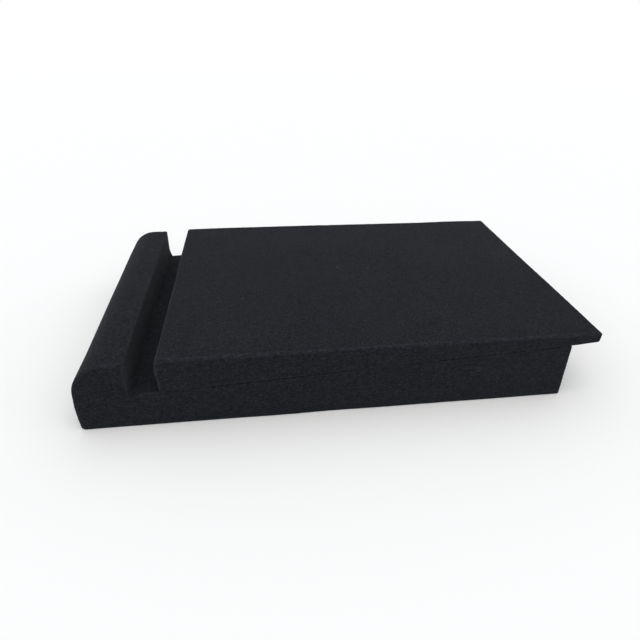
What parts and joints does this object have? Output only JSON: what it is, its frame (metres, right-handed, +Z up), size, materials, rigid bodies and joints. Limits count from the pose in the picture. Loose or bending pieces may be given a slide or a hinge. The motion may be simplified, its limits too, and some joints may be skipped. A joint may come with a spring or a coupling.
{
  "type": "speaker isolation pad",
  "caption": "Black foam pad that carries a loudspeaker: a block with a round-topped lip at one end and a sloping bed, and a loose wedge that levels it.",
  "frame": {"origin": "centre of the base block's underside, on the surface that the pad stands on", "axes": "+X along the pad from the lip to the open end, +Y across its width, +Z up"},
  "size_m": [0.3173, 0.2, 0.0463],
  "materials": {
    "foam": "matte"
  },
  "bodies": {
    "root": {"base_block": "foam", "wedge_insert": "foam"}
  },
  "joints": []
}
